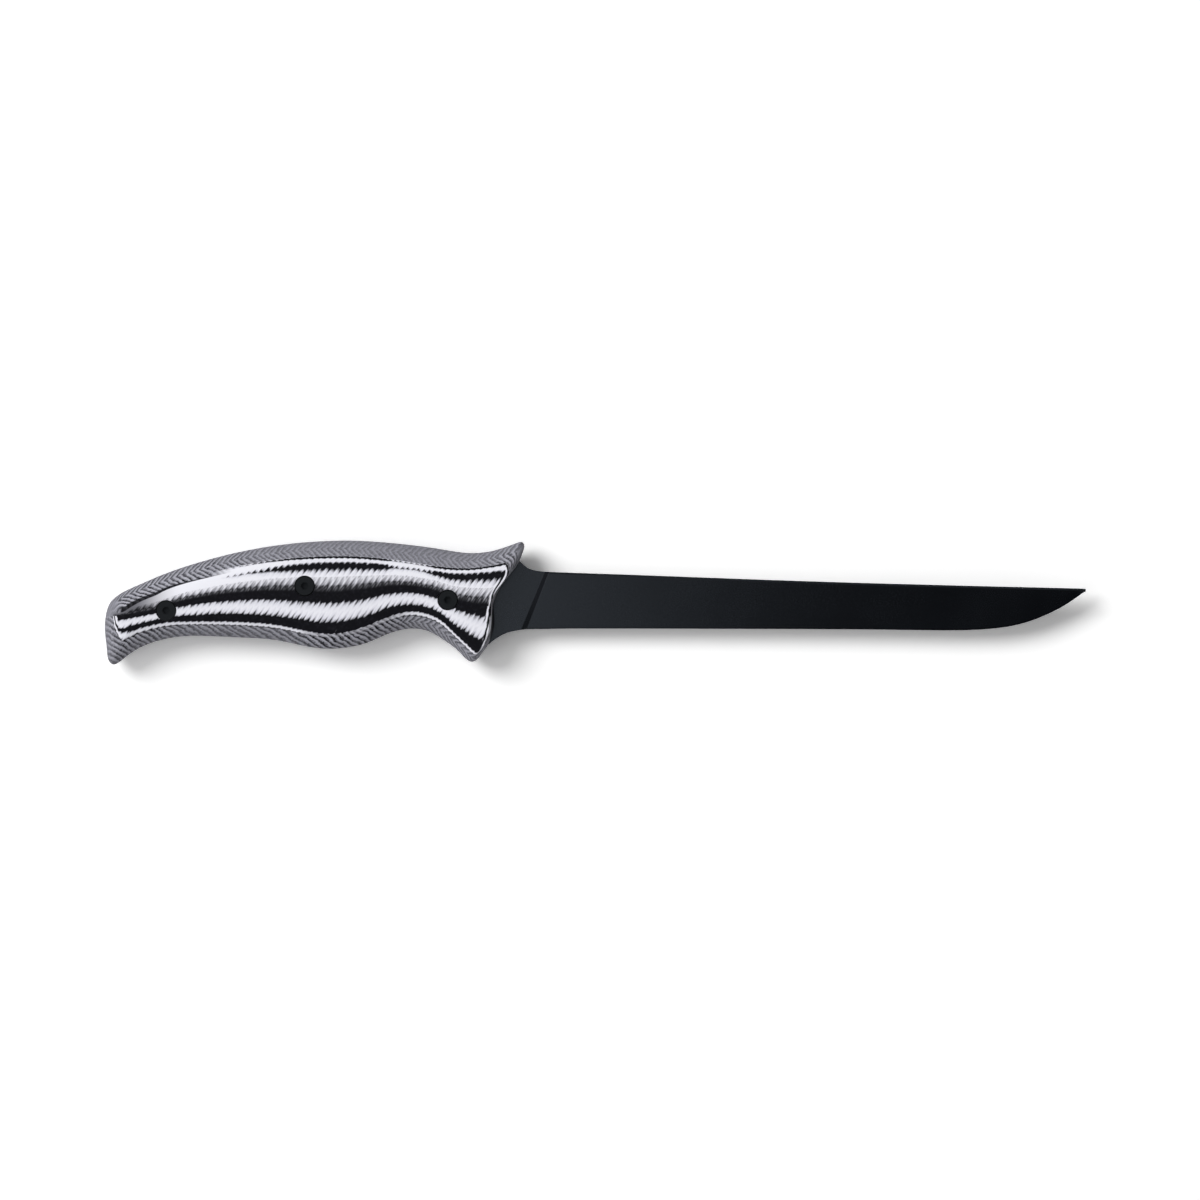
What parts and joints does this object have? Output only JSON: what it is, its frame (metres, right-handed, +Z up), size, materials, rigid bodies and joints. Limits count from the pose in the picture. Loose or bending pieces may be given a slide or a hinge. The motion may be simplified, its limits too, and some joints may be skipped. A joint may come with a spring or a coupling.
{
  "type": "fillet knife",
  "caption": "Full-tang fillet knife with a slim black coated blade and contoured handle scales of black and white glass-fibre laminate, held by socket screws.",
  "frame": {"origin": "on the surface that the knife lies on, under the middle of its overall length and depth", "axes": "+X from the butt to the tip, +Y from the edge to the spine, +Z up out of the right-hand scale"},
  "size_m": [0.3546, 0.0448, 0.0235],
  "materials": {
    "blade_steel": "satin black coating on steel",
    "laminate": "sanded black and white glass-fibre laminate",
    "fastener_steel": "black oxide"
  },
  "bodies": {
    "root": {"blade": "blade_steel", "right_scale": "laminate", "left_scale": "laminate", "rear_screw": "fastener_steel", "middle_screw": "fastener_steel", "front_screw": "fastener_steel", "rear_nut": "fastener_steel", "middle_nut": "fastener_steel", "front_nut": "fastener_steel"}
  },
  "joints": []
}
